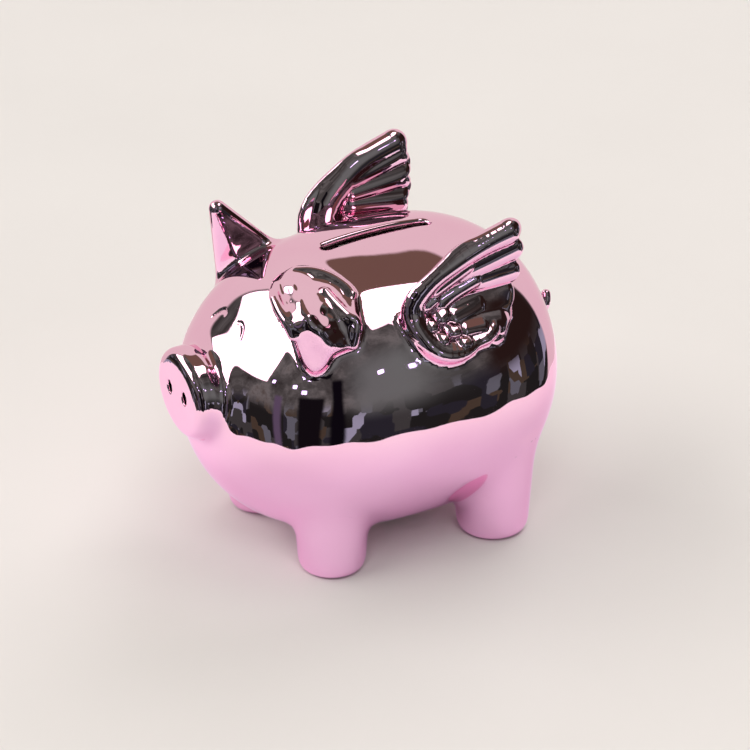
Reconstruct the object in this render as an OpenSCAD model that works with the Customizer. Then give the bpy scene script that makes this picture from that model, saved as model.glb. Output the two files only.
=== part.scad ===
// Flying pig money bank: a slip-cast hollow body with cast snout, ears, wings,
// tail and legs luted on, and a rubber stopper in the belly.
// Nose towards -Y, the pig's left side towards +X, feet on z = 0.

/* [Body] */
// Largest radius of the barrel
body_r = 44.7; // [43.5:0.1:46]
// Height of the barrel's long axis above the table
axis_z = 48; // [47:0.1:49]
// Reach of the barrel in front of its widest section
front_len = 59.5; // [58:0.1:61]
// Reach of the barrel behind its widest section
rear_len = 52; // [51:0.1:53.5]
// Thickness of the cast wall
wall = 4; // [3:0.1:5]
// Height of the flattened belly above the table
belly_z = 7.5; // [7:0.1:8.5]

/* [Coin slot] */
// Length of the slot, end to end
slot_len = 36; // [32:0.5:40]
// Width of the slot
slot_w = 4.6; // [4.4:0.1:5.5]

/* [Snout] */
// Radius of the snout's front disc
snout_r = 13.5; // [12.5:0.1:14.5]
// Height of the snout's centre above the table
snout_z = 56.5; // [55:0.1:58]
// Reach of the snout in front of the barrel's widest section
snout_reach = 66; // [65:0.1:68]

/* [Legs] */
// Radius of a foot
foot_r = 9.6; // [8.5:0.1:10.5]
// Distance of a front foot from the middle plane
front_foot_x = 21.5; // [20.5:0.1:22.5]
// Distance of a rear foot from the middle plane
rear_foot_x = 26; // [24:0.1:27]
// Distance of the front feet before the widest section
front_foot_y = 27.5; // [26:0.1:29]
// Distance of the rear feet behind the widest section
rear_foot_y = 25; // [23:0.1:27]

/* [Wings] */
// Thickness of a wing's blade
blade_t = 6.5; // [5.5:0.1:7.5]
// Distance of a blade's middle from the middle plane
blade_x = 31.5; // [30:0.1:33]
// How far a wing's root stands proud of the body
root_pad = 3.4; // [2.5:0.1:4]

/* [Stopper] */
// Radius of the hole in the belly
hole_r = 11; // [9:0.1:12]
// Radius of the stopper's flange
flange_r = 14; // [13.5:0.1:15]

/* [Hidden] */
$fn = 96;
pink = [0.86, 0.62, 0.74];
big = 200;

// Tail: a ring-shaped curl that stands off the rump on a short stub
tail_wire_r = 2.3;
tail_stub_r = 2.1;
curl_r = 4.4;
curl_z = 57;
curl_root = 49;
curl_at = 58.2;

// The pig is centred on the origin between the snout's disc and the tail's curl
mid_y = (snout_reach - curl_at - tail_wire_r) / 2;

// Powers of the superellipse that each end of the barrel follows, and steps along it
front_power = 2.32;
rear_power = 2.64;
end_steps = 20;

// Snout: rounded rim, waist behind it and flare into the face
rim_r = 3;
waist_r = 11.8;
waist_at = 58.5;
flare_r = 16.5;
flare_at = 49;
nostril_x = 4.4;
nostril_z = 57.5;
nostril_r = 1.5;
nostril_rise = 0.7;
nostril_deep = 2.4;

// Legs
foot_edge = 2.6;
leg_top_r = 12.2;
leg_top_z = 33;

// Ears: corners on the head, and the tip or the fold
ear_round = 2.4;
ear_foot = [[20, -35, 79], [22.5, -23, 82], [30, -38, 73], [32, -28, 74]];
ear_tip = [26.6, -37.6, 98.6];
ear_scoop_r = 16;
ear_scoop_c = [9.6, -29.4, 93];
fold_front = [14.5, -39, 89];
fold_top = [18, -32, 92];
fold_rear = [29.5, -24.5, 84.5];
flap_rear = [33.5, -26.8, 79];
flap_tip = [33.3, -39.2, 73];

// Wings, drawn from the side with y to the rear and z up
wing_root = [4, 81.5];
wing_root_r = 14.4;
lead_c = [29.2, 58.3];
lead_r = 48.1;
lead_from = [-8.5, 88.5];
feathers = [[26.2, 101.5, 5], [28, 94.2, 4.4], [27.6, 86.8, 4.2], [25, 80, 4.2], [18.5, 75, 5]];

// Stopper
hole_y = 0;
flange_t = 1.8;
flange_gap = 0.3;
plug_h = 9;
plug_clear = 0.5;
seal_clear = 0.05;
seal_h = 1.2;
seal_at = [1.2, 4.2];
tab = [10, 2.4, 2.6];

function unit(v) = v / norm(v);

// Point on one end's outline as [radius, length], moved out along its normal by grow
function end_point(a, len, power, grow) =
    let (c = cos(a), s = sin(a),
         out = unit([pow(s, 2 - 2 / power) / body_r, pow(c, 2 - 2 / power) / len]))
    [body_r * pow(s, 2 / power), len * pow(c, 2 / power)] + grow * out;
function end_points(len, power, grow) =
    [for (i = [0 : end_steps]) end_point(90 * i / end_steps, len, power, grow)];

// Solid barrel, grown all round by grow, with its long axis along Y
module barrel(grow = 0) {
    rear = end_points(rear_len, rear_power, grow);
    outline = concat(end_points(front_len, front_power, grow),
                     [for (i = [end_steps - 1 : -1 : 0]) [rear[i][0], -rear[i][1]]]);
    translate([0, mid_y, axis_z]) rotate([90, 0, 0]) rotate_extrude($fn = 180) polygon(outline);
}

// The barrel above a level plane, which flattens its belly
module flattened(grow, floor_z) {
    intersection() {
        barrel(grow);
        translate([-big / 2, -big / 2, floor_z]) cube(big);
    }
}

module outer_form() { flattened(0, belly_z); }
module cavity() { flattened(-wall, belly_z + wall); }

module slot_cut() {
    half = slot_len / 2 - slot_w / 2;
    translate([0, mid_y, axis_z]) {
        translate([-slot_w / 2, -half, 0]) cube([slot_w, 2 * half, body_r + wall]);
        for (end = [-half, half])
            translate([0, end, 0]) cylinder(h = body_r + wall, d = slot_w);
    }
}

module body_shell() {
    color(pink) difference() {
        outer_form();
        cavity();
        slot_cut();
        translate([0, mid_y + hole_y, 0]) cylinder(h = belly_z + 2 * wall, r = hole_r);
    }
}

module snout() {
    color(pink) difference() {
        translate([0, mid_y, snout_z]) rotate([90, 0, 0]) rotate_extrude() {
            polygon([[0, flare_at], [flare_r, flare_at], [waist_r, waist_at],
                     [snout_r, snout_reach - rim_r], [snout_r - rim_r, snout_reach], [0, snout_reach]]);
            translate([snout_r - rim_r, snout_reach - rim_r]) circle(rim_r, $fn = 48);
        }
        outer_form();
        for (side = [-1, 1]) nostril(side);
    }
}

module nostril(side) {
    front = mid_y - snout_reach;
    translate([side * nostril_x, front + nostril_deep, nostril_z]) rotate([90, 0, 0]) {
        for (rise = [-nostril_rise, nostril_rise])
            translate([0, rise, 0]) cylinder(h = 2 * nostril_deep, r = nostril_r);
        translate([-nostril_r, -nostril_rise, 0])
            cube([2 * nostril_r, 2 * nostril_rise, 2 * nostril_deep]);
    }
}

module ball_at(p, r = ear_round) { translate(p + [0, mid_y, 0]) sphere(r, $fn = 32); }

// Upright ear, drawn on the left side and mirrored to the right
module ear_right() {
    color(pink) mirror([1, 0, 0]) difference() {
        hull() {
            for (p = ear_foot) ball_at(p);
            ball_at(ear_tip);
        }
        translate(ear_scoop_c + [0, mid_y, 0]) sphere(ear_scoop_r, $fn = 64);
        outer_form();
    }
}

// Folded ear: a low stem on the head, and the flap that hangs from its fold
module ear_left() {
    color(pink) difference() {
        union() {
            hull() {
                for (p = ear_foot) ball_at(p);
                for (p = [fold_front, fold_top, fold_rear]) ball_at(p);
            }
            hull() for (p = [fold_front, fold_top, fold_rear, flap_rear, flap_tip]) ball_at(p);
        }
        outer_form();
    }
}

// A bar with round ends from the wing's root to a feather's tip
module feather(tip) {
    run = [tip[0], tip[1]] - wing_root;
    translate(wing_root) rotate(atan2(run[1], run[0])) {
        translate([0, -tip[2]]) square([norm(run), 2 * tip[2]]);
        translate([norm(run), 0]) circle(tip[2]);
    }
}

module wing_outline() {
    first = feathers[0];
    lead_to = wing_root + 2.4 * (lead_from - wing_root);
    translate(wing_root) circle(wing_root_r);
    intersection() {
        translate(lead_c) circle(lead_r, $fn = 180);
        polygon([wing_root, lead_to, [lead_to[0], lead_c[1] + lead_r], [first[0], lead_c[1] + lead_r],
                 [first[0], first[1]]]);
    }
    for (tip = feathers) feather(tip);
}

// The wing's outline as a slab standing between two distances from the middle plane
module wing_slab(from, to) {
    translate([from, mid_y, 0]) rotate([90, 0, 90]) linear_extrude(to - from) wing_outline();
}

module wing() {
    color(pink) difference() {
        union() {
            wing_slab(blade_x - blade_t / 2, blade_x + blade_t / 2);
            intersection() {
                wing_slab(blade_x - blade_t / 2, body_r + root_pad);
                barrel(root_pad);
            }
        }
        outer_form();
    }
}

module wing_left() { wing(); }
module wing_right() { mirror([1, 0, 0]) wing(); }

module tail() {
    color(pink) difference() {
        union() {
            translate([0, mid_y + curl_at, curl_z]) rotate([90, 0, 0])
                rotate_extrude() translate([curl_r, 0]) circle(tail_wire_r, $fn = 48);
            translate([0, mid_y + curl_root, curl_z - curl_r]) rotate([-90, 0, 0])
                cylinder(h = curl_at - curl_root, r = tail_stub_r);
        }
        outer_form();
    }
}

// One stubby leg with a rounded foot, trimmed where it meets the body
module leg(x, y) {
    color(pink) difference() {
        translate([x, mid_y + y, 0]) rotate_extrude() {
            polygon([[0, 0], [foot_r - foot_edge, 0], [foot_r, foot_edge],
                     [leg_top_r, leg_top_z], [0, leg_top_z]]);
            translate([foot_r - foot_edge, foot_edge]) circle(foot_edge, $fn = 48);
        }
        outer_form();
    }
}

module leg_front_left() { leg(front_foot_x, -front_foot_y); }
module leg_front_right() { leg(-front_foot_x, -front_foot_y); }
module leg_rear_left() { leg(rear_foot_x, rear_foot_y); }
module leg_rear_right() { leg(-rear_foot_x, rear_foot_y); }

// Rubber stopper: flange under the belly, plug with two sealing rings, tab to pull it by
module stopper() {
    under = belly_z - flange_gap;
    color([0.9, 0.88, 0.86]) translate([0, mid_y + hole_y, 0]) {
        translate([0, 0, under - flange_t]) cylinder(h = flange_t, r = flange_r);
        translate([0, 0, under]) cylinder(h = plug_h, r = hole_r - plug_clear);
        for (at = seal_at)
            translate([0, 0, belly_z + at]) cylinder(h = seal_h, r = hole_r - seal_clear);
        translate([-tab[0] / 2, -tab[1] / 2, under - flange_t - tab[2]]) cube(tab);
    }
}

body_shell();
snout();
ear_right();
ear_left();
wing_left();
wing_right();
tail();
leg_front_left();
leg_front_right();
leg_rear_left();
leg_rear_right();
stopper();
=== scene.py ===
"""Flying pig money bank: one cast, glazed and mirror-plated pig on a pale floor.

Each ceramic piece is cut from one smooth field of distances, so the limbs flow into the
body as they do on the real casting, and neighbouring pieces end on the same seam.
Lengths in the fields are millimetres, with y measured from the barrel's widest section.
"""
import math

import bpy
import numpy as np
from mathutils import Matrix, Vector


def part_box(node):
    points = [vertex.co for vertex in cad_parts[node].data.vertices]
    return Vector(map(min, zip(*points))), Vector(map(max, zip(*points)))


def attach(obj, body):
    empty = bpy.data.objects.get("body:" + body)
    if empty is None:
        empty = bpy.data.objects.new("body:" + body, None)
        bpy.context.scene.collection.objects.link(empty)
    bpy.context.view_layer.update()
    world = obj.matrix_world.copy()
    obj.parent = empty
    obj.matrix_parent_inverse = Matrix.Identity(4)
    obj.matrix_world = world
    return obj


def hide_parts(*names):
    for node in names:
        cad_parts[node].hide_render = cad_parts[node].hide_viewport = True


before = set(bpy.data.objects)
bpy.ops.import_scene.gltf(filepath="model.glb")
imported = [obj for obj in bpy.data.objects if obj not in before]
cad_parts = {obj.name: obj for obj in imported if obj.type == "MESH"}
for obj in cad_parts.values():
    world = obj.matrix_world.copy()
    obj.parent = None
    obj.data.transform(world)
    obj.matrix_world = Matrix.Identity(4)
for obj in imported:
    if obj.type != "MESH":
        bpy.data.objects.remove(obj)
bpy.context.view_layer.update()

MM = 0.001

# ---------------------------------------------------------------- sizes, as in the CAD model
BODY_LOW, BODY_HIGH = np.array(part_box("body_shell")) / MM
BODY_R = (BODY_HIGH[0] - BODY_LOW[0]) / 2
AXIS_Z = BODY_HIGH[2] - BODY_R
FRONT_LEN = 59.5
MID_Y = BODY_LOW[1] + FRONT_LEN                      # the widest section, in the frame
REAR_LEN = BODY_HIGH[1] - MID_Y
FRONT_POWER, REAR_POWER = 2.32, 2.64
WALL = 4.0
BELLY_Z = 7.5
SLOT_HALF, SLOT_R = 15.7, 2.3
HOLE_R = 11.0
SNOUT_Z, SNOUT_R = 56.5, 13.5
SNOUT_REACH = MID_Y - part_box("snout")[0][1] / MM
FRONT_FOOT = (21.5, -27.5, 9.8)                      # x, y and radius
REAR_FOOT = (26.3, 25.0, 10.6)
FAR = 60.0                                           # a distance too great to matter


# ---------------------------------------------------------------- field arithmetic
def unite(a, b, k):
    """Union of two solids with a fillet that starts k away from where they meet."""
    h = np.maximum(k - np.abs(a - b), 0.0) / k
    return np.minimum(a, b) - h ** 3 * (k / 6.0)


def cut(a, b, k):
    """Intersection of two solids with its edge rounded."""
    return -unite(-a, -b, k)


def near(p, lo, hi, form, margin=14.0):
    """form(points) inside a box and FAR outside it, so that distant pieces cost nothing."""
    x, y, z = p
    m = ((x > lo[0] - margin) & (x < hi[0] + margin) & (y > lo[1] - margin) & (y < hi[1] + margin)
         & (z > lo[2] - margin) & (z < hi[2] + margin))
    d = np.full(x.shape, FAR)
    if m.any():
        d[m] = form((x[m], y[m], z[m]))
    return d


def rib(p, points, radii):
    """A round bar through points, its radius changing along it."""
    x, y, z = p
    best = np.full(x.shape, FAR)
    for a, b, ra, rb in zip(points[:-1], points[1:], radii[:-1], radii[1:]):
        a, b = np.array(a, float), np.array(b, float)
        run = b - a
        t = ((x - a[0]) * run[0] + (y - a[1]) * run[1] + (z - a[2]) * run[2]) / (run @ run)
        t = np.clip(t, 0.0, 1.0)
        d = np.sqrt((x - a[0] - t * run[0]) ** 2 + (y - a[1] - t * run[1]) ** 2
                    + (z - a[2] - t * run[2]) ** 2)
        best = np.minimum(best, d - ra - t * (rb - ra))
    return best


def bar(u, v, a, b, ra, rb):
    """Distance in a plane to a bar from a to b with end radii ra and rb."""
    run = (b[0] - a[0], b[1] - a[1])
    t = ((u - a[0]) * run[0] + (v - a[1]) * run[1]) / (run[0] ** 2 + run[1] ** 2)
    t = np.clip(t, 0.0, 1.0)
    return np.hypot(u - a[0] - t * run[0], v - a[1] - t * run[1]) - ra - t * (rb - ra)


def smooth(points, closed=False, pieces=6):
    """Points along a smooth curve through the given ones."""
    p = np.array(points, float)
    n = len(p)
    ahead = lambda i: p[i % n] if closed else p[min(max(i, 0), n - 1)]
    out = []
    for i in range(n if closed else n - 1):
        a, b, c, d = ahead(i - 1), ahead(i), ahead(i + 1), ahead(i + 2)
        for t in np.arange(pieces) / pieces:
            out.append(0.5 * (2 * b + (c - a) * t + (2 * a - 5 * b + 4 * c - d) * t ** 2
                              + (3 * b - a - 3 * c + d) * t ** 3))
    if not closed:
        out.append(p[-1])
    return np.array(out)


def loop(u, v, points):
    """Signed distance in a plane to a closed outline."""
    best = np.full(u.shape, FAR)
    odd = np.zeros(u.shape, bool)
    for a, b in zip(points, np.roll(points, -1, 0)):
        best = np.minimum(best, bar(u, v, a, b, 0, 0))
        crosses = (a[1] > v) != (b[1] > v)
        if a[1] != b[1]:
            odd ^= crosses & (u < (b[0] - a[0]) * (v - a[1]) / (b[1] - a[1]) + a[0])
    return np.where(odd, -best, best)


def stretched(points):
    """A smooth sheet w(u, v), like a thin plate bent through points (u, v, w)."""
    p = np.array(points, float)
    n = len(p)

    def kernel(r2):
        """The thin plate's own shape round one point, from the squared distance."""
        return 0.5 * r2 * np.log(np.maximum(r2, 1e-6))

    k = kernel((p[:, None, 0] - p[:, 0]) ** 2 + (p[:, None, 1] - p[:, 1]) ** 2)
    flat = np.stack([np.ones(n), p[:, 0], p[:, 1]], 1)
    system = np.block([[k + 4.0 * np.eye(n), flat], [flat.T, np.zeros((3, 3))]])
    c = np.linalg.solve(system, np.append(p[:, 2], np.zeros(3)))

    def height(u, v):
        """The sheet's w at (u, v)."""
        w = c[n] + c[n + 1] * u + c[n + 2] * v
        for weight, (a, b, _) in zip(c, p):
            w = w + weight * kernel((u - a) ** 2 + (v - b) ** 2)
        return w

    return height


def facet(p, a, b, c, inside):
    """Signed distance to the plane through a, b and c, negative on the side of inside."""
    a, b, c = np.array(a, float), np.array(b, float), np.array(c, float)
    n = np.cross(b - a, c - a)
    n /= np.linalg.norm(n)
    if n @ (np.array(inside) - a) > 0:
        n = -n
    return (p[0] - a[0]) * n[0] + (p[1] - a[1]) * n[1] + (p[2] - a[2]) * n[2]


def triangle(p, a, b, c):
    """Distance to the flat triangle a, b, c."""
    q = np.stack(p, -1)
    corners = [np.array(v, float) for v in (a, b, c)]
    n = np.cross(corners[1] - corners[0], corners[2] - corners[0])
    over = np.ones(q.shape[:-1], bool)
    edges = np.full(q.shape[:-1], FAR)
    for i in range(3):
        start, run = corners[i], corners[(i + 1) % 3] - corners[i]
        out = q - start
        over &= out @ np.cross(run, n) <= 0
        t = np.clip(out @ run / (run @ run), 0, 1)
        edges = np.minimum(edges, np.linalg.norm(out - t[..., None] * run, axis=-1))
    return np.where(over, np.abs((q - corners[0]) @ n) / np.linalg.norm(n), edges)


def tent(p, tip, feet, inside):
    """Signed distance to a pyramid with its tip above a ring of four feet."""
    corners = [(a, b, tip) for a, b in zip(feet, feet[1:] + feet[:1])]
    corners += [(feet[0], feet[1], feet[2]), (feet[2], feet[3], feet[0])]
    depth = np.full(p[0].shape, -FAR)
    skin = np.full(p[0].shape, FAR)
    for a, b, c in corners:
        depth = np.maximum(depth, facet(p, a, b, c, inside))
        skin = np.minimum(skin, triangle(p, a, b, c))
    return np.where(depth < 0, depth, skin)


# ---------------------------------------------------------------- body
def barrel(p):
    """Signed distance to the barrel, a superellipse turned about its long axis."""
    x, y, z = p
    front = y < 0
    n = np.where(front, FRONT_POWER, REAR_POWER)
    length = np.where(front, FRONT_LEN, REAR_LEN)
    u = np.abs(y) / length + 1e-9
    r = np.hypot(x, z - AXIS_Z) / BODY_R + 1e-9
    s = (u ** n + r ** n) ** (1 / n)
    return (s - 1) / np.hypot((u / s) ** (n - 1) / length, (r / s) ** (n - 1) / BODY_R)


def body_form(p):
    """The barrel with its brow dished between the ears and the snout and its belly flattened."""
    x, y, z = p
    brow = 1.6 * np.exp(-((x / 20) ** 2 + ((y + 50) / 9) ** 2 + ((z - 78) / 11) ** 2))
    ripple = 0.07 * np.sin(x / 5.1 + 1.0) * np.sin(y / 6.3) * np.sin(z / 5.7)
    return cut(barrel(p) + brow + ripple, BELLY_Z - z, 9.0)


def cavity(p):
    """The hollow inside, a wall's thickness in from the outer form."""
    return cut(barrel(p) + WALL, BELLY_Z + WALL - p[2], 6.0)


# ---------------------------------------------------------------- limbs
def leg(p, foot):
    """A stubby leg whose foot has a rounded edge."""
    x, y, z = p
    side = np.hypot(x - foot[0], y - foot[1]) - (foot[2] + 0.06 * z)
    return cut(cut(side, -z, 6.0), z - 34.0, 4.0)


def snout(p):
    """A thick disc with a rounded rim on a slightly waisted neck that swells again at the face."""
    x, y, z = p
    r = np.hypot(x, z - SNOUT_Z)
    ahead = -y - 0.05 * (z - SNOUT_Z)
    face = SNOUT_REACH - 0.7
    edge, half = 3.3, 4.4
    dr = r - (SNOUT_R - edge)
    da = np.abs(ahead - (face - half)) - (half - edge)
    disc = np.minimum(np.maximum(dr, da), 0) + np.hypot(np.maximum(dr, 0), np.maximum(da, 0)) - edge
    neck = cut(cut(r - 12.0, ahead - (face - half), 2.0), 40.0 - ahead, 2.0)
    d = unite(disc, neck, 3.5)
    pit = (np.hypot((np.abs(x) - 4.4) / 1.3, (z - SNOUT_Z - 1.0) / 2.0) - 1) * 1.4
    pit = cut(pit, face - 5.0 - ahead, 1.5)
    return cut(d, -pit, 0.6)


# the upright ear's feet and tip, laid out on the pig's left side
EAR_FEET = [(24.6, -30.1, 78.4), (21.9, -21.2, 82.2), (29.4, -23.6, 74.0), (31.0, -32.7, 69.5)]
EAR_TIP = (24.6, -38.1, 98.7)
EAR_ROUND = 2.5


def ear_upright(p):
    """The right ear, worked out on the left side: a rounded pyramid that leans forwards."""
    q = (-p[0], p[1], p[2])
    d = tent(q, EAR_TIP, EAR_FEET, (27.0, -29.0, 80.0)) - EAR_ROUND
    return cut(d, 62.0 - q[2], 3.0)


# the folded ear is laid out facing the side that it shows: u to the rear, v up, w outwards
FLAP_O = np.array([24.0, -34.0, 84.0])
FLAP_N = np.array([0.76, -0.45, 0.46]) / np.linalg.norm([0.76, -0.45, 0.46])
FLAP_U = np.cross([0, 0, 1], FLAP_N) / np.linalg.norm(np.cross([0, 0, 1], FLAP_N))
FLAP_V = np.cross(FLAP_N, FLAP_U)
FLAP_OUTLINE = smooth([(-11, 8), (-11, 5), (-10, 1.5), (-8, -1.5), (-5.6, -5.5), (-4.2, -9.5), (-2.6, -13.6),
                       (0, -15.8), (3, -14.5), (5.5, -11), (8.5, -9.5), (11.5, -8), (12.5, -4), (12, -1),
                       (11.5, 3), (11, 6), (9, 8.5), (4.5, 11.5), (-0.5, 13.5), (-5, 14), (-8, 12.5),
                       (-10, 10)], True, 3)
FLAP_FRONT = [(-10.5, 8, -1.5), (-11, 5.5, 3), (-9.5, 2, 7), (-7.5, -1.5, 9.6), (-5.5, -5.5, 9.2),
              (-4.5, -9.5, 6.5), (-3, -13.5, 3.6), (0, -15.5, 2.2)]
FLAP_CREST = [(3, -14, 3.3), (5.5, -10, 6.2), (6, -8, 7.6), (3, -4, 10.2), (-0.5, 0, 11.4), (-3, 4.5, 8),
              (-5.5, 9, 2), (-7, 11, -2.5)]
FLAP_BACK = [(-5, 12.5, -5.5), (-0.5, 12.5, -5), (4.5, 11, -4), (9, 8, -2.6), (10.5, 6, -1.5)]
FLAP_RIM = [(3, 6.5, 2), (6, 3, 3.4), (9, 0, 4), (11.5, -1.5, 3.4), (11.5, -4.5, 3.2), (11, -8, 2)]
FLAP_DIPS = [(-4, -1, 10.8), (-1, -6.5, 8.7), (1, -10, 6.1), (-2, -10, 6.1), (-8, 6, 1.5), (-6.5, 3, 5.4),
             (-0.5, 5, 3), (3, 0, 5.4), (6.5, -4, 4.4), (8.5, -7, 3), (-0.5, 10, -4.2), (4.5, 8.5, -3),
             (8, 5, -1)]
FLAP_PROUD = 0.8                                     # how far the folded ear's edges stand out
flap_height = stretched(FLAP_FRONT + FLAP_CREST + FLAP_BACK + FLAP_RIM + FLAP_DIPS)


def ear_folded(p):
    """The left ear: folded over, with a crest, a smooth tongue in front and a rimmed back."""
    q = [p[i] - FLAP_O[i] for i in range(3)]
    u, v, w = (q[0] * a[0] + q[1] * a[1] + q[2] * a[2] for a in (FLAP_U, FLAP_V, FLAP_N))
    top = (w - flap_height(u, v) - 0.6) / 1.25
    d = cut(loop(u, v, FLAP_OUTLINE), top, 2.2)
    for line, r in ((FLAP_FRONT[:5], 1.5), (FLAP_BACK, 1.4), (FLAP_RIM, 1.5)):
        path = smooth([(a, b, c - r + FLAP_PROUD) for a, b, c in line], pieces=3)
        d = unite(d, rib((u, v, w), path, [r] * len(path)), 1.8)
    return cut(d, -16.0 - w, 3.0)


WING_SPINE = [((4.0, 81.5), (12.6, 91.6), 14.0, 10.4), ((12.6, 91.6), (25.0, 100.6), 10.4, 4.9)]
FEATHERS = [((6, 84), (27.0, 94.2), 9.0, 4.2), ((6, 82), (26.8, 87.0), 9.0, 4.1),
            ((6, 80), (25.2, 80.4), 9.0, 4.3), ((6, 80), (22.6, 77.4), 9.0, 4.4),
            ((5, 79), (18.2, 75.2), 10.0, 5.4)]
RIM = smooth([(24.6, 100.8), (19.0, 99.6), (14.0, 98.0), (7.6, 95.2), (0.4, 91.2), (-4.4, 86.0), (-6.0, 80.6),
              (-4.6, 75.8), (-0.8, 72.4), (5.0, 71.0), (12.0, 71.8), (18.4, 75.0)], pieces=3)
RIM_W = np.interp(np.arange(len(RIM)), [0, 3, 9, 18, 24, 33], [5.0, 4.6, 4.2, 4.8, 4.4, 2.6])
# feathers as (root, tip, half width, height, how much the lower edge stands proud)
OUTER = [((8, 90.5), (27.6, 95.0), 4.4, 1.2, 0.2), ((8, 86.5), (27.4, 87.8), 4.4, 1.2, 0.2),
         ((8, 82), (25.6, 80.8), 4.4, 1.2, 0.2), ((8, 78), (21.0, 76.0), 4.0, 1.1, 0.2),
         ((1.0, 88.0), (11.2, 93.4), 3.3, 1.9, 0.3), ((3.4, 84.2), (14.2, 88.0), 3.3, 1.9, 0.3),
         ((6.6, 80.4), (15.4, 81.4), 3.1, 1.8, 0.3), ((8.8, 76.8), (14.6, 76.4), 2.8, 1.7, 0.25),
         ((-1.4, 84.4), (0.8, 85.4), 2.9, 2.3, 0.2), ((2.2, 80.8), (3.6, 81.2), 2.7, 2.3, 0.2),
         ((-1.8, 79.6), (-1.0, 79.6), 2.6, 2.4, 0.2), ((4.4, 77.2), (5.6, 77.2), 2.6, 2.3, 0.2),
         ((0.4, 76.0), (1.0, 76.0), 2.6, 2.4, 0.2), ((6.6, 73.6), (8.0, 73.6), 2.5, 2.2, 0.2)]
INNER = [((9, 93.4), (26.4, 98.2), 3.8, 1.5, 0.3), ((9, 89.4), (27.0, 91.2), 3.8, 1.4, 0.3),
         ((9, 85.6), (25.6, 84.0), 3.9, 1.3, 0.3)]
INNER_RIM = smooth([(25.0, 101.2), (15.0, 98.4), (7.0, 93.6), (1.0, 87.0), (-1.0, 80.0)], pieces=3)
SHIFT = {1: (-1.6, -0.9), -1: (1.6, 0.9)}             # the two wings don't sit quite alike
SPLAY = 0.14                                         # outward lean of the blades, as a slope
SPLAY_FROM = 83.0                                    # the height at which they start to lean
ROOT_RISE = 2.2                                      # how far a wing's root stands off the barrel
BLADE_OUT, BLADE_IN = 32.0, 30.0                     # the blade's outer and inner faces
FULL_BEAD = 4.2                                      # half width at which a moulding is at full height


def plumes(y, z, feathers):
    """Height of overlapping feathers, each crowned and standing prouder at its lower edge."""
    h = np.full(y.shape, -0.5)
    for a, b, width, height, tilt in feathers:
        run = np.array(b, float) - a
        run /= np.hypot(*run)
        across = (y - a[0]) * run[1] - (z - a[1]) * run[0]
        d = bar(y, z, a, b, 0, 0)
        lean = tilt * height * np.clip(across / width, -1, 1)
        crown = (1.0 - (d / width) ** 2) * (height + 0.5) - 0.5 + lean
        h = -unite(-h, -crown, 0.35)
    return h


def bead(y, z, line, widths, height):
    """Height of a rounded moulding along a line."""
    h = np.full(y.shape, -1.0)
    for a, b, wa, wb in zip(line[:-1], line[1:], widths[:-1], widths[1:]):
        w = (wa + wb) / 2
        rise = height * min(w / FULL_BEAD, 1.0)
        h = np.maximum(h, (1 - (bar(y, z, a, b, 0, 0) / w) ** 2) * (rise + 0.5) - 0.5)
    return h


def wing_outline(y, z):
    """Distance to a wing's outline, seen from the side."""
    s = np.full(y.shape, FAR)
    for a, b, ra, rb in WING_SPINE:
        s = unite(s, bar(y, z, a, b, ra, rb), 1.0)
    for a, b, ra, rb in FEATHERS:
        s = unite(s, bar(y, z, a, b, ra, rb), 1.4)
    return s


def wing(p, side):
    """A feathered wing whose root hugs the body and whose blade stands up from it."""
    x, y, z = p[0] * side, p[1], p[2]
    dy, dz = SHIFT[side]
    wy, wz = y - dy, z - dz
    rise = z - SPLAY_FROM
    x = x - SPLAY * (rise + np.sqrt(rise * rise + 16.0)) / 2
    s = wing_outline(wy, wz)
    girth = barrel((np.zeros_like(y), y, np.full_like(z, AXIS_Z + BODY_R)))
    reach = np.maximum((BODY_R - girth) ** 2 - (z - AXIS_Z) ** 2, 0.0)
    hug = np.sqrt(reach) + ROOT_RISE
    low = np.clip((85.0 - wz) / 9.0, 0, 1) * np.clip((21.0 - wy) / 9.0, 0, 1)
    relief = -unite(-plumes(wy, wz, OUTER), -bead(wy, wz, RIM, RIM_W, 2.6), 0.6)
    face = -unite(-hug, -np.full_like(hug, BLADE_OUT), 5.0) + relief
    steep = np.maximum(z - AXIS_Z, 0) / np.maximum(hug, 12.0)
    slope = np.sqrt(1 + np.where(hug > BLADE_OUT, steep ** 2, 0))
    outer = (x - face) / slope
    back = -unite(-plumes(wy, wz, INNER), -bead(wy, wz, INNER_RIM, np.full(len(INNER_RIM), 5.2), 1.7), 0.6)
    inner = BLADE_IN - back - x
    return cut(cut(s, outer, 2.6 + 6.4 * low), inner, 4.0)


TAIL_TURNS, TAIL_STEPS = 1.35, 36
TAIL_CURL, TAIL_Z = 4.2, 57                          # radius and height of the curl
TAIL_Y, TAIL_REACH = 48.6, 9.2                       # where it starts and how far back it goes
TAIL_THICK, TAIL_THINNING = 2.25, 0.85


def tail(p):
    """One and a third turns of a curl that thins towards its tip."""
    points, radii = [], []
    for i in range(TAIL_STEPS + 1):
        t = i / TAIL_STEPS
        a = 2 * math.pi * TAIL_TURNS * t - math.pi / 2
        points.append((TAIL_CURL * math.cos(a), TAIL_Y + TAIL_REACH * t, TAIL_Z + TAIL_CURL * math.sin(a)))
        radii.append(TAIL_THICK - TAIL_THINNING * t * t)
    return rib(p, points, radii)


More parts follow.
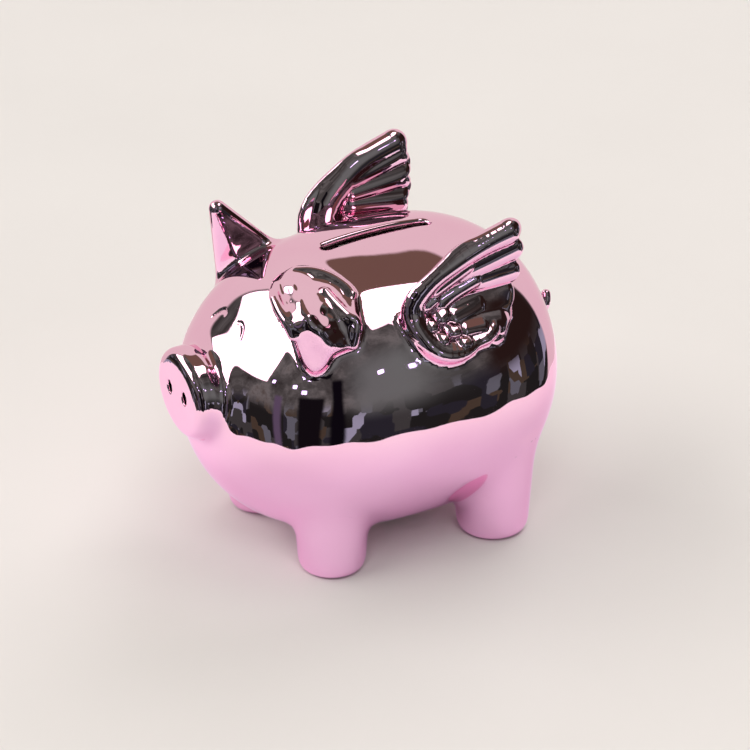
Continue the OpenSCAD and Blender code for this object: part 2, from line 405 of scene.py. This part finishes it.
# piece: (low corner, high corner, its field, width of its fillet with the body)
LIMBS = {
    "snout": ((-17, -67, 39), (17, -44, 74), snout, 6.0),
    "ear_right": ((-38, -46, 62), (-8, -14, 103), ear_upright, 5.0),
    "ear_left": ((10, -46, 66), (39, -18, 97), ear_folded, 4.0),
    "wing_left": ((20, -15, 62), (48, 34, 108), lambda p: wing(p, 1), 2.6),
    "wing_right": ((-48, -15, 62), (-20, 34, 108), lambda p: wing(p, -1), 2.6),
    "tail": ((-8, 46, 48), (8, 62, 66), tail, 4.0),
    "leg_front_left": ((6, -44, 0), (37, -11, 34), lambda p: leg(p, FRONT_FOOT), 5.5),
    "leg_front_right": ((-37, -44, 0), (-6, -11, 34), lambda p: leg((-p[0], p[1], p[2]), FRONT_FOOT), 5.5),
    "leg_rear_left": ((10, 8, 0), (42, 42, 36), lambda p: leg(p, REAR_FOOT), 5.5),
    "leg_rear_right": ((-42, 8, 0), (-10, 42, 36), lambda p: leg((-p[0], p[1], p[2]), REAR_FOOT), 5.5),
}
EYE = smooth([(3.4, 76.3), (4.8, 76.6), (6.3, 76.1), (7.5, 75.1), (8.4, 73.7)], pieces=2)


def details(p, d):
    """Cuts the slot, the stopper hole, the hollow and the closed eyes into the outer form d."""
    x, y, z = p
    eye = np.full(x.shape, FAR)
    for a, b in zip(EYE[:-1], EYE[1:]):
        eye = np.minimum(eye, bar(np.abs(x), z, a, b, 0, 0))
    end = np.clip((np.abs(x) - EYE[0][0]) / (EYE[-1][0] - EYE[0][0]), 0, 1)
    d = d + np.where(y < -35, (0.2 + 0.8 * end * (1 - end)) * np.exp(-(eye / 0.42) ** 2), 0)
    slot = np.hypot(x, np.maximum(np.abs(y) - SLOT_HALF, 0)) - SLOT_R + 0.35
    slot = np.where(z > AXIS_Z, slot, FAR)
    d = cut(d, -cavity(p), 0.8)
    d = cut(d, -slot, 2.6)
    hole = np.where(z < AXIS_Z, np.hypot(x, y) - HOLE_R, FAR)
    return cut(d, -hole, 1.0)


def whole(p, names):
    """The pig's own field, the body's alone, and each limb's, counting only the named limbs."""
    base = body_form(p)
    d = base
    limb = {}
    for name in names:
        lo, hi, form, k = LIMBS[name]
        limb[name] = near(p, lo, hi, form)
        d = unite(d, limb[name], k)
    return details(p, d), base, limb


def limb_field(name):
    """The field of one limb: (the pig's surface, the face where it meets the body)."""
    def field(p):
        """Both parts of the field at points p."""
        d, base, limb = whole(p, [name])
        return d, np.maximum(limb[name], 0) - base
    return field


def body_field(p):
    """The field of the body: (the pig's surface, the faces where it meets the limbs)."""
    d, base, limb = whole(p, list(LIMBS))
    nearest = np.full(base.shape, FAR)
    for other in limb.values():
        nearest = np.minimum(nearest, other)
    return d, base - np.maximum(nearest, 0)


STOP_GAP, FLANGE_R, FLANGE_T, PLUG_R = 0.3, 14.0, 1.8, 10.5


def stopper_field(p):
    """Rubber stopper: domed flange, plug with two soft sealing rings, and a tab."""
    x, y, z = p
    r = np.hypot(x, y)
    under = BELLY_Z - STOP_GAP
    flange = cut(r - FLANGE_R, np.abs(z - under + FLANGE_T / 2) - FLANGE_T / 2, 1.2)
    plug = cut(r - PLUG_R + 0.12 * np.maximum(z - 13, 0), np.abs(z - under - 4.0) - 5.0, 1.6)
    d = unite(flange, plug, 0.8)
    for at in (1.8, 4.8):
        ring = np.hypot(r - (PLUG_R - 0.35), (z - BELLY_Z - at) / 1.3) - 0.8
        d = unite(d, ring, 0.5)
    hollow = cut(r - 8.0, BELLY_Z + 3.5 - z, 1.5)
    d = cut(d, -hollow, 0.8)
    tab = cut(cut(np.abs(x) - 5.0, np.abs(y) - 1.2, 1.2), np.abs(z - under + 2.9) - 1.5, 1.0)
    dimple = np.sqrt(x * x + (np.abs(y) - 9.6) ** 2 + (z - 2.2) ** 2) - 4.2
    d = cut(d, -dimple, 0.6)
    d = unite(d, tab, 0.8)
    return d, np.full(x.shape, -FAR)


# ---------------------------------------------------------------- meshing
def slopes(field, v, eps=0.02):
    """Both parts of a field and their gradients at points v."""
    f, g = field(tuple(v.T))
    df, dg = np.empty_like(v), np.empty_like(v)
    for i in range(3):
        step = np.zeros(3)
        step[i] = eps
        fa, ga = field(tuple((v + step).T))
        fb, gb = field(tuple((v - step).T))
        df[:, i], dg[:, i] = (fa - fb) / (2 * eps), (ga - gb) / (2 * eps)
    return f, g, df, dg


def ticks(lo, hi, h, fine, block):
    """Grid lines h apart from lo to hi, and closer together across the fine spans."""
    at = [lo]
    while at[-1] < hi or len(at) % block:
        close = any(a <= at[-1] < b for a, b in fine)
        at.append(at[-1] + (0.32 * h if close else h))
    return np.array(at)


def sample(field, lo, hi, h, fine):
    """Both parts of a field on a grid, worked out only where a surface may pass."""
    block = 4
    axes = [ticks(lo[i], hi[i], h, fine[i], block) for i in range(3)]
    mid = [a.reshape(-1, block).mean(1) for a in axes]
    grid = np.meshgrid(*mid, indexing="ij")
    f, g = field(tuple(a.ravel() for a in grid))
    reach = h * block * 1.35
    f, g = f.reshape(grid[0].shape), g.reshape(grid[0].shape)
    live = np.abs(np.maximum(f, g)) < reach
    spread = lambda a: a.repeat(block, 0).repeat(block, 1).repeat(block, 2)
    live, f, g = spread(live), spread(f), spread(g)
    i, j, k = np.nonzero(live)
    f[live], g[live] = field((axes[0][i], axes[1][j], axes[2][k]))
    return axes, f, g


def settle(field, v, seam, capped, h, rounds):
    """Moves points onto f = 0, the capped ones onto g = 0, and those of the seam onto both."""
    for _ in range(rounds):
        fv, gv, df, dg = slopes(field, v)
        aa, bb, ab = (df * df).sum(1), (dg * dg).sum(1), (df * dg).sum(1)
        step = -(np.where(capped, gv / np.maximum(bb, 0.05), fv / np.maximum(aa, 0.05))[:, None]
                 * np.where(capped[:, None], dg, df))
        det = np.maximum(aa * bb - ab * ab, 0.08)
        la, lb = (bb * fv - ab * gv) / det, (aa * gv - ab * fv) / det
        step[seam] = -(la[:, None] * df + lb[:, None] * dg)[seam]
        size = np.linalg.norm(step, axis=1, keepdims=True)
        v = v + step * np.minimum(1.0, 0.5 * h / np.maximum(size, 1e-9))
    return v


def field_normals(field, v, quads, kind):
    """The normal at each corner of each quad, taken from the face that the quad lies on."""
    _, _, df, dg = slopes(field, v)
    df /= np.maximum(np.linalg.norm(df, axis=1, keepdims=True), 1e-9)
    dg /= np.maximum(np.linalg.norm(dg, axis=1, keepdims=True), 1e-9)
    return np.where(kind[:, None, None], dg[quads], df[quads])


LEAST_AGREEMENT = 0.4                                # a quad's own normal against the field's


def crossings(f, g):
    """Where grid lines cross max(f, g) = 0: the ring of four cells round each crossing, the
    crossing's place on the grid, and whether it lies on g."""
    both = np.maximum(f, g)
    shape = np.array(both.shape) - 1
    rings, spots, kinds = [], [], []
    for a in range(3):
        b, c = (a + 1) % 3, (a + 2) % 3
        low, high = (np.take(both, range(i, both.shape[a] - 1 + i), axis=a) for i in (0, 1))
        start = np.stack(np.nonzero((low < 0) != (high < 0)), 1)
        inside = (start[:, b] > 0) & (start[:, c] > 0) & (start[:, b] < shape[b]) & (start[:, c] < shape[c])
        start = start[inside]
        end = start.copy()
        end[:, a] += 1
        at_start, at_end = both[tuple(start.T)], both[tuple(end.T)]
        spot = start.astype(float)
        spot[:, a] += at_start / (at_start - at_end)
        leaving = at_start > 0
        outer = tuple(np.where(leaving[:, None], start, end).T)
        cells = []
        for db, dc in ((0, 0), (-1, 0), (-1, -1), (0, -1)):
            cell = start.copy()
            cell[:, b] += db
            cell[:, c] += dc
            cells.append((cell[:, 0] * shape[1] + cell[:, 1]) * shape[2] + cell[:, 2])
        ring = np.stack(cells, 1)
        ring[leaving] = ring[leaving][:, ::-1]
        rings.append(ring)
        spots.append(spot)
        kinds.append(g[outer] > f[outer])
    return np.concatenate(rings), np.concatenate(spots), np.concatenate(kinds)


def surface(field, lo, hi, h, fine):
    """Closed quad mesh of max(f, g) < 0: points, quads, whether each quad lies on g, and normals."""
    axes, f, g = sample(field, lo, hi, h, fine)
    rings, spots, kind = crossings(f, g)
    ids, quads = np.unique(rings.ravel(), return_inverse=True)
    quads = quads.reshape(rings.shape)
    count = np.bincount(quads.ravel(), minlength=len(ids)).astype(float)

    def mean_around(values):
        """For each point, the mean value of the quads that meet there."""
        return np.bincount(quads.ravel(), weights=np.repeat(values, 4), minlength=len(ids)) / count

    v = np.stack([np.interp(mean_around(spots[:, i]), np.arange(len(axes[i])), axes[i])
                  for i in range(3)], 1)
    on_g = mean_around(kind)
    seam, capped = (on_g > 0) & (on_g < 1), on_g == 1
    v = settle(field, v, seam, capped, h, 4)
    normals = field_normals(field, v, quads, kind)
    for _ in range(6):
        # points that crossed over each other are drawn back among their neighbours
        across = np.cross(v[quads[:, 2]] - v[quads[:, 0]], v[quads[:, 3]] - v[quads[:, 1]])
        agree = (across * normals.mean(1)).sum(1) / np.maximum(np.linalg.norm(across, axis=1), 1e-9)
        tangled = np.unique(quads[agree <= LEAST_AGREEMENT])
        if not len(tangled):
            break
        centre = v[quads].mean(1)
        moved = np.stack([mean_around(centre[:, i]) for i in range(3)], 1)[tangled]
        v[tangled] = settle(field, moved, seam[tangled], capped[tangled], h, 3)
        normals = field_normals(field, v, quads, kind)
    return v, quads, kind, normals


def make_piece(name, field, lo, hi, h, materials, body, node, hollow=None, fine=((), (), ())):
    """Meshes a field, in metres and in the frame, as a piece that stands for one CAD node."""
    v, quads, kind, normals = surface(field, lo, hi, h, fine)
    mesh = bpy.data.meshes.new(name)
    mesh.from_pydata(((v + [0, MID_Y, 0]) * MM).tolist(), [], quads.tolist())
    mesh.polygons.foreach_set("use_smooth", np.ones(len(quads), bool))
    for m in materials:
        mesh.materials.append(m)
    if hollow is not None:
        mesh.polygons.foreach_set("material_index", hollow(v[quads].mean(1)).astype(np.int32))
    mesh.update()
    mesh.normals_split_custom_set(normals.reshape(-1, 3).tolist())
    piece = bpy.data.objects.new(name, mesh)
    bpy.context.scene.collection.objects.link(piece)
    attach(piece, body)
    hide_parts(node)
    print(f"{name}: {len(v)} points, {len(quads)} quads")
    return piece


# ---------------------------------------------------------------- materials
def new_material(name):
    """A material with its nodes, links and main shader."""
    m = bpy.data.materials.new(name)
    m.use_nodes = True
    return m, m.node_tree.nodes, m.node_tree.links, m.node_tree.nodes["Principled BSDF"]


def add(nodes, kind, **inputs):
    """A new node with some of its inputs set."""
    n = nodes.new(kind)
    for key, value in inputs.items():
        n.inputs[key.replace("_", " ")].default_value = value
    return n


def ramp(nodes, links, source, stops):
    """A colour ramp fed by source, with the given (position, colour) stops."""
    r = nodes.new("ShaderNodeValToRGB")
    links.new(source, r.inputs["Fac"])
    while len(r.color_ramp.elements) < len(stops):
        r.color_ramp.elements.new(0.5)
    for e, (at, colour) in zip(r.color_ramp.elements, stops):
        e.position = at
        e.color = (*colour, 1)
    return r


def plated_material():
    """Mirror-bright pink plating with faint orange peel, a slow swell and haze."""
    m, nodes, links, shader = new_material("pink_plating")
    where = nodes.new("ShaderNodeTexCoord").outputs["Object"]
    haze = add(nodes, "ShaderNodeTexNoise", Scale=38.0, Detail=4.0)
    peel = add(nodes, "ShaderNodeTexNoise", Scale=420.0, Detail=2.0)
    swell = add(nodes, "ShaderNodeTexNoise", Scale=55.0, Detail=1.0)
    for n in (haze, peel, swell):
        links.new(where, n.inputs["Vector"])
    tint = ramp(nodes, links, haze.outputs["Fac"], [(0.3, (0.93, 0.55, 0.72)), (0.7, (0.96, 0.60, 0.755))])
    rough = ramp(nodes, links, haze.outputs["Fac"], [(0.35, (0.018,) * 3), (0.75, (0.05,) * 3)])
    links.new(tint.outputs["Color"], shader.inputs["Base Color"])
    links.new(rough.outputs["Color"], shader.inputs["Roughness"])
    shader.inputs["Metallic"].default_value = 1.0
    shader.inputs["Specular Tint"].default_value = (1.0, 0.86, 0.93, 1)
    low = add(nodes, "ShaderNodeBump", Strength=0.5, Distance=0.0005)
    links.new(swell.outputs["Fac"], low.inputs["Height"])
    fine = add(nodes, "ShaderNodeBump", Strength=0.018, Distance=0.0002)
    links.new(peel.outputs["Fac"], fine.inputs["Height"])
    links.new(low.outputs["Normal"], fine.inputs["Normal"])
    links.new(fine.outputs["Normal"], shader.inputs["Normal"])
    return m


def bare_material():
    """Bare glazed white earthenware, for the hollow inside."""
    m, nodes, links, shader = new_material("bare_earthenware")
    where = nodes.new("ShaderNodeTexCoord").outputs["Object"]
    mottle = add(nodes, "ShaderNodeTexNoise", Scale=90.0, Detail=5.0)
    grain = add(nodes, "ShaderNodeTexNoise", Scale=900.0, Detail=2.0)
    links.new(where, mottle.inputs["Vector"])
    links.new(where, grain.inputs["Vector"])
    tone = ramp(nodes, links, mottle.outputs["Fac"], [(0.3, (0.74, 0.70, 0.64)), (0.7, (0.84, 0.81, 0.76))])
    links.new(tone.outputs["Color"], shader.inputs["Base Color"])
    shader.inputs["Roughness"].default_value = 0.55
    bump = add(nodes, "ShaderNodeBump", Strength=0.25, Distance=0.0003)
    links.new(grain.outputs["Fac"], bump.inputs["Height"])
    links.new(bump.outputs["Normal"], shader.inputs["Normal"])
    return m


def rubber_material():
    """Soft off-white rubber with a fine moulded grain and a little dust."""
    m, nodes, links, shader = new_material("soft_rubber")
    where = nodes.new("ShaderNodeTexCoord").outputs["Object"]
    dust = add(nodes, "ShaderNodeTexNoise", Scale=120.0, Detail=6.0)
    grain = add(nodes, "ShaderNodeTexNoise", Scale=1800.0, Detail=2.0)
    links.new(where, dust.inputs["Vector"])
    links.new(where, grain.inputs["Vector"])
    tone = ramp(nodes, links, dust.outputs["Fac"], [(0.35, (0.62, 0.59, 0.55)), (0.65, (0.76, 0.74, 0.71))])
    rough = ramp(nodes, links, dust.outputs["Fac"], [(0.3, (0.42,) * 3), (0.7, (0.62,) * 3)])
    links.new(tone.outputs["Color"], shader.inputs["Base Color"])
    links.new(rough.outputs["Color"], shader.inputs["Roughness"])
    shader.inputs["Subsurface Weight"].default_value = 0.15
    shader.inputs["Subsurface Radius"].default_value = (0.002, 0.0015, 0.001)
    bump = add(nodes, "ShaderNodeBump", Strength=0.2, Distance=0.0001)
    links.new(grain.outputs["Fac"], bump.inputs["Height"])
    links.new(bump.outputs["Normal"], shader.inputs["Normal"])
    return m


# ---------------------------------------------------------------- build the pig
PLATED, BARE, RUBBER = plated_material(), bare_material(), rubber_material()


def hollow_faces(centres):
    """Which faces of the body line its inside."""
    return barrel(tuple(centres.T)) < -WALL * 0.75


# where the body's grid is finer, for the closed eyes
EYE_SPANS = (((-9.6, -2.4), (2.4, 9.6)), ((-53.3, -48.8),), ((72.6, 77.8),))


def build():
    """Meshes every piece in turn."""
    make_piece("body_cast", body_field, (-47.3, -61.7, 5.2), (47.3, 54.1, 95.3), 1.0, [PLATED, BARE],
               "bank", "body_shell", hollow_faces, EYE_SPANS)
    steps = {"snout": 0.6, "ear_right": 0.6, "ear_left": 0.5, "wing_left": 0.45, "wing_right": 0.45,
             "tail": 0.4}
    for name, (lo, hi, _, k) in LIMBS.items():
        h = steps.get(name, 0.9)
        grow = k * 0.8 + 0.37
        low = [lo[i] - grow for i in range(3)]
        high = [hi[i] + grow for i in range(3)]
        make_piece(name + "_cast", limb_field(name), low, high, h, [PLATED], "bank", name)
    make_piece("stopper_moulded", stopper_field, (-15.3, -15.3, 1.7), (15.3, 15.3, 18.3), 0.4, [RUBBER],
               "plug", "stopper")


build()


# ---------------------------------------------------------------- stage, light and camera
def floor_material(name, low, high, rim=None):
    """A faintly mottled matt floor, paler from 0.07 m to 0.15 m out if a rim is given; that paler ring and
    the darker middle round the pig are painted light and painted shade.
    """
    m, nodes, links, shader = new_material(name)
    where = nodes.new("ShaderNodeTexCoord").outputs["Object"]
    mottle = add(nodes, "ShaderNodeTexNoise", Scale=9.0, Detail=4.0)
    links.new(where, mottle.inputs["Vector"])
    tone = ramp(nodes, links, mottle.outputs["Fac"], [(0.3, low), (0.7, high)])
    links.new(tone.outputs["Color"], shader.inputs["Base Color"])
    if rim:
        away = nodes.new("ShaderNodeVectorMath")
        away.operation = "LENGTH"
        links.new(where, away.inputs[0])
        # painted shade and light: the floor is darker near the pig and paler from 0.07 m out
        reach = ramp(nodes, links, away.outputs["Value"], [(0.07, (0.0,) * 3), (0.15, (1.0,) * 3)])
        mix = nodes.new("ShaderNodeMix")
        mix.data_type = "RGBA"
        links.new(reach.outputs["Color"], mix.inputs["Factor"])
        links.new(tone.outputs["Color"], mix.inputs[6])
        mix.inputs[7].default_value = (*rim, 1)
        links.new(mix.outputs[2], shader.inputs["Base Color"])
    shader.inputs["Roughness"].default_value = 0.75
    shader.inputs["Specular IOR Level"].default_value = 0.2
    return m


def stage_floor():
    """A pale floor that the camera and soft light see, and the nearer patch that the plating mirrors: a
    brighter, lilac copy of the floor whose colour is painted light, pink and bluish light bounced onto it
    near the pig.
    """
    far_floor = floor_material("pale_floor", (0.77, 0.735, 0.715), (0.79, 0.755, 0.735))
    # painted light: the mirrored patch is a brighter lilac copy of the floor, standing in for pink light
    # bounced off the pig, with painted shade in its middle and a paler outer ring
    mirrored_floor_painted_light = floor_material("mirrored_floor_painted_light", (0.90, 0.82, 0.95), (0.92, 0.84, 0.97), (0.99, 0.97, 0.99))
    for name, reach, mirrored in (("floor", 6.0, False), ("floor_near_painted_light", 0.165, True)):
        lift = 0.00004 if mirrored else 0.0
        ring = []
        for i in range(180):
            a = 2 * math.pi * i / 180
            r = reach * (1 + 0.035 * math.sin(9 * a) + 0.03 * math.sin(17 * a + 1)) if mirrored else reach
            ring.append((r * math.cos(a), r * math.sin(a), lift))
        mesh = bpy.data.meshes.new(name)
        mesh.from_pydata(ring, [], [list(range(180))])
        mesh.materials.append(mirrored_floor_painted_light if mirrored else far_floor)
        floor = bpy.data.objects.new(name, mesh)
        bpy.context.scene.collection.objects.link(floor)
        floor.visible_glossy = mirrored
        if mirrored:
            floor.visible_camera = floor.visible_diffuse = floor.visible_shadow = False
            floor.visible_transmission = False


class Wires:
    """Shorthand for wiring up the nodes of a tree."""

    def __init__(self, tree):
        self.nodes, self.links = tree.nodes, tree.links

    def calc(self, op, *values):
        """A sum, product or other operation on numbers and sockets."""
        n = self.nodes.new("ShaderNodeMath")
        n.operation = op
        for socket, value in zip(n.inputs, values):
            if isinstance(value, (int, float)):
                socket.default_value = value
            else:
                self.links.new(value, socket)
        return n.outputs[0]

    def step(self, value, edge, soft):
        """0 below edge, 1 above it, over a width of soft."""
        n = self.nodes.new("ShaderNodeMapRange")
        n.interpolation_type = "SMOOTHSTEP"
        self.links.new(value, n.inputs["Value"])
        n.inputs["From Min"].default_value = edge - soft / 2
        n.inputs["From Max"].default_value = edge + soft / 2
        return n.outputs["Result"]

    def paint(self, colour, mask, over):
        """colour where mask is 0, and over, a colour or a socket, where it is 1."""
        n = self.nodes.new("ShaderNodeMix")
        n.data_type = "RGBA"
        self.links.new(mask, n.inputs["Factor"])
        self.links.new(colour, n.inputs[6])
        if isinstance(over, tuple):
            n.inputs[7].default_value = (*over, 1)
        else:
            self.links.new(over, n.inputs[7])
        return n.outputs[2]


def window(wires, azimuth, elevation, az, half, low, high, soft):
    """1 inside a patch of the surroundings centred on azimuth az."""
    off = wires.calc("ADD", wires.calc("SUBTRACT", azimuth, az), 540.0)
    off = wires.calc("ABSOLUTE", wires.calc("SUBTRACT", wires.calc("MODULO", off, 360.0), 180.0))
    inside = wires.calc("SUBTRACT", 1.0, wires.step(off, half, soft))
    below = wires.calc("SUBTRACT", 1.0, wires.step(elevation, high, soft))
    band = wires.calc("MULTIPLY", wires.step(elevation, low, soft), below)
    return wires.calc("MULTIPLY", inside, band)


def dim_room(wires, way, azimuth, elevation):
    """Shelves of odds and ends low down, and dim haze above them."""
    nodes, links = wires.nodes, wires.links
    spread = nodes.new("ShaderNodeCombineXYZ")
    links.new(wires.calc("DIVIDE", azimuth, 7.0), spread.inputs[0])
    links.new(wires.calc("DIVIDE", elevation, 10.0), spread.inputs[1])
    cells = add(nodes, "ShaderNodeTexVoronoi", Scale=1.0, Randomness=0.85)
    cells.distance = "CHEBYCHEV"
    links.new(spread.outputs[0], cells.inputs["Vector"])
    pick = nodes.new("ShaderNodeSeparateColor")
    links.new(cells.outputs["Color"], pick.inputs[0])
    shelf = ramp(nodes, links, pick.outputs[0],
                 [(0.0, (0.014, 0.018, 0.015)), (0.35, (0.045, 0.06, 0.05)), (0.55, (0.02, 0.026, 0.03)),
                  (0.7, (0.11, 0.16, 0.16)), (0.82, (0.06, 0.06, 0.035)), (0.92, (0.30, 0.42, 0.46))])
    shelf.color_ramp.interpolation = "CONSTANT"
    clutter = add(nodes, "ShaderNodeTexNoise", Scale=3.0, Detail=6.0, Roughness=0.65)
    links.new(way, clutter.inputs["Vector"])
    haze = ramp(nodes, links, clutter.outputs["Fac"],
                [(0.35, (0.025, 0.03, 0.024)), (0.5, (0.075, 0.10, 0.08)),
                 (0.62, (0.15, 0.20, 0.16)), (0.75, (0.06, 0.06, 0.04))])
    return wires.paint(shelf.outputs["Color"], wires.step(elevation, 6.0, 14.0), haze.outputs["Color"])


# what the plating mirrors: (colour, azimuth, half width, low, high, softness of the edge), the
# angles in degrees and the azimuth from the snout's side towards the pig's left
SURROUNDINGS = (
    ((0.14, 0.21, 0.17), 98, 17, 2, 40, 22),             # dim far wall
    ((0.006, 0.006, 0.007), 52, 8, -40, 16, 3),          # dark curtain
    ((0.004, 0.004, 0.006), 70, 4, -40, 30, 3),          # and its other half
    ((0.10, 0.10, 0.14), 28, 3, -40, 15, 3),             # pale frame
    ((0.16, 0.12, 0.08), 210, 66, 46, 91, 4),            # ceiling
    ((0.02, 0.014, 0.01), 158, 28, 0, 34, 14),           # brown corner
    ((0.79, 0.76, 0.70), 238, 53, -40, 51, 3),           # backdrop
    ((3.4, 3.3, 3.2), 333, 40, 25, 52, 1.5),             # large window
    ((3.0, 2.9, 2.8), 136, 38, 58, 80, 1.5),             # window overhead
)
LAMPS = ((40, 24), (47, 20), (96, 28), (110, 24), (20, 26))
LAMP_COLOUR, LAMP_HALF_WIDTH, LAMP_HALF_HEIGHT = (4.0, 4.2, 6.5), 1.4, 1.2


def stage_world():
    """Soft studio surroundings: pale backdrop behind, dim room in front, windows and a ceiling."""
    world = bpy.data.worlds.new("studio")
    bpy.context.scene.world = world
    world.use_nodes = True
    wires = Wires(world.node_tree)
    way = wires.nodes.new("ShaderNodeTexCoord").outputs["Generated"]
    split = wires.nodes.new("ShaderNodeSeparateXYZ")
    wires.links.new(way, split.inputs[0])
    x, y, z = split.outputs
    turn = wires.calc("DIVIDE", wires.calc("ARCTAN2", x, wires.calc("MULTIPLY", y, -1.0)), 2 * math.pi)
    azimuth = wires.calc("MULTIPLY", wires.calc("FRACT", wires.calc("ADD", turn, 1.0)), 360.0)
    elevation = wires.calc("DEGREES", wires.calc("ARCSINE", z))
    colour = dim_room(wires, way, azimuth, elevation)
    for rgb, *patch in SURROUNDINGS:
        colour = wires.paint(colour, window(wires, azimuth, elevation, *patch), rgb)
    for az, el in LAMPS:
        patch = (az, LAMP_HALF_WIDTH, el - LAMP_HALF_HEIGHT, el + LAMP_HALF_HEIGHT, 1.0)
        colour = wires.paint(colour, window(wires, azimuth, elevation, *patch), LAMP_COLOUR)
    back = wires.nodes["Background"]
    wires.links.new(colour, back.inputs["Color"])
    back.inputs["Strength"].default_value = 1.0


def soft_light(name, at, aim, size, power, colour):
    """A round soft light that the plating doesn't mirror."""
    data = bpy.data.lights.new(name, "AREA")
    data.shape = "DISK"
    data.size = size
    data.energy = power
    data.color = colour
    light = bpy.data.objects.new(name, data)
    bpy.context.scene.collection.objects.link(light)
    light.location = at
    light.rotation_euler = look_along(at, aim)
    light.visible_glossy = False
    return light


def look_along(at, aim):
    """The rotation that points a camera or a light at aim."""
    return (Vector(aim) - Vector(at)).to_track_quat("-Z", "Y").to_euler()


def camera():
    """The photograph's view: from the pig's left, well ahead of it and above."""
    azimuth, elevation = math.radians(59.3), math.radians(27.6)
    distance, lens = 0.818, 133.0
    aim = (0.0, (MID_Y - 0.1) * MM, 0.0457)
    at = (aim[0] + distance * math.sin(azimuth) * math.cos(elevation),
          aim[1] - distance * math.cos(azimuth) * math.cos(elevation),
          aim[2] + distance * math.sin(elevation))
    data = bpy.data.cameras.new("camera")
    data.lens = lens
    data.clip_start = 0.01
    cam = bpy.data.objects.new("camera", data)
    bpy.context.scene.collection.objects.link(cam)
    cam.location = at
    cam.rotation_euler = look_along(at, aim)
    bpy.context.scene.camera = cam


bpy.context.scene.view_settings.view_transform = "Standard"
stage_floor()
stage_world()
LIT_SPOT = (0, 0, 0.03)
soft_light("key", (2.9, -1.4, 3.8), LIT_SPOT, 3.0, 82.0, (1.0, 0.985, 0.97))
soft_light("fill", (-1.6, 2.8, 3.4), LIT_SPOT, 3.4, 56.0, (1.0, 0.95, 1.0))
camera()
